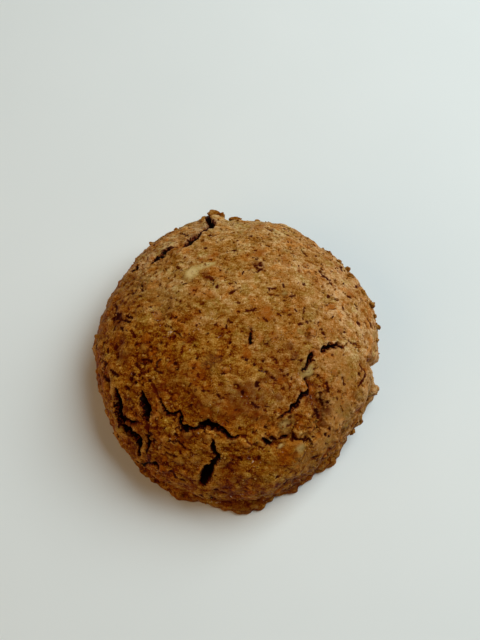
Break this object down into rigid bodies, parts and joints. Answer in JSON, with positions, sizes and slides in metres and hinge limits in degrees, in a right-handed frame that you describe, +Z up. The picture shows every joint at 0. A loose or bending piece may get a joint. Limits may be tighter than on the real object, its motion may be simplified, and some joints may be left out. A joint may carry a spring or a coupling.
{
  "type": "chocolate cookie",
  "caption": "Domed drop cookie with a cracked, craggy brown crust, a thin ragged foot and a flat underside.",
  "frame": {"origin": "on the surface the cookie rests on, under the middle of its bounding box", "axes": "+Z up through the dome, +Y from the cracked front towards the back, +X to the right seen from the front"},
  "size_m": [0.076, 0.0806, 0.0299],
  "materials": {
    "crust": "matte baked crust, tan brown on top and darker at the foot, with dark chocolate specks"
  },
  "bodies": {
    "root": {"cookie": "crust"}
  },
  "joints": []
}
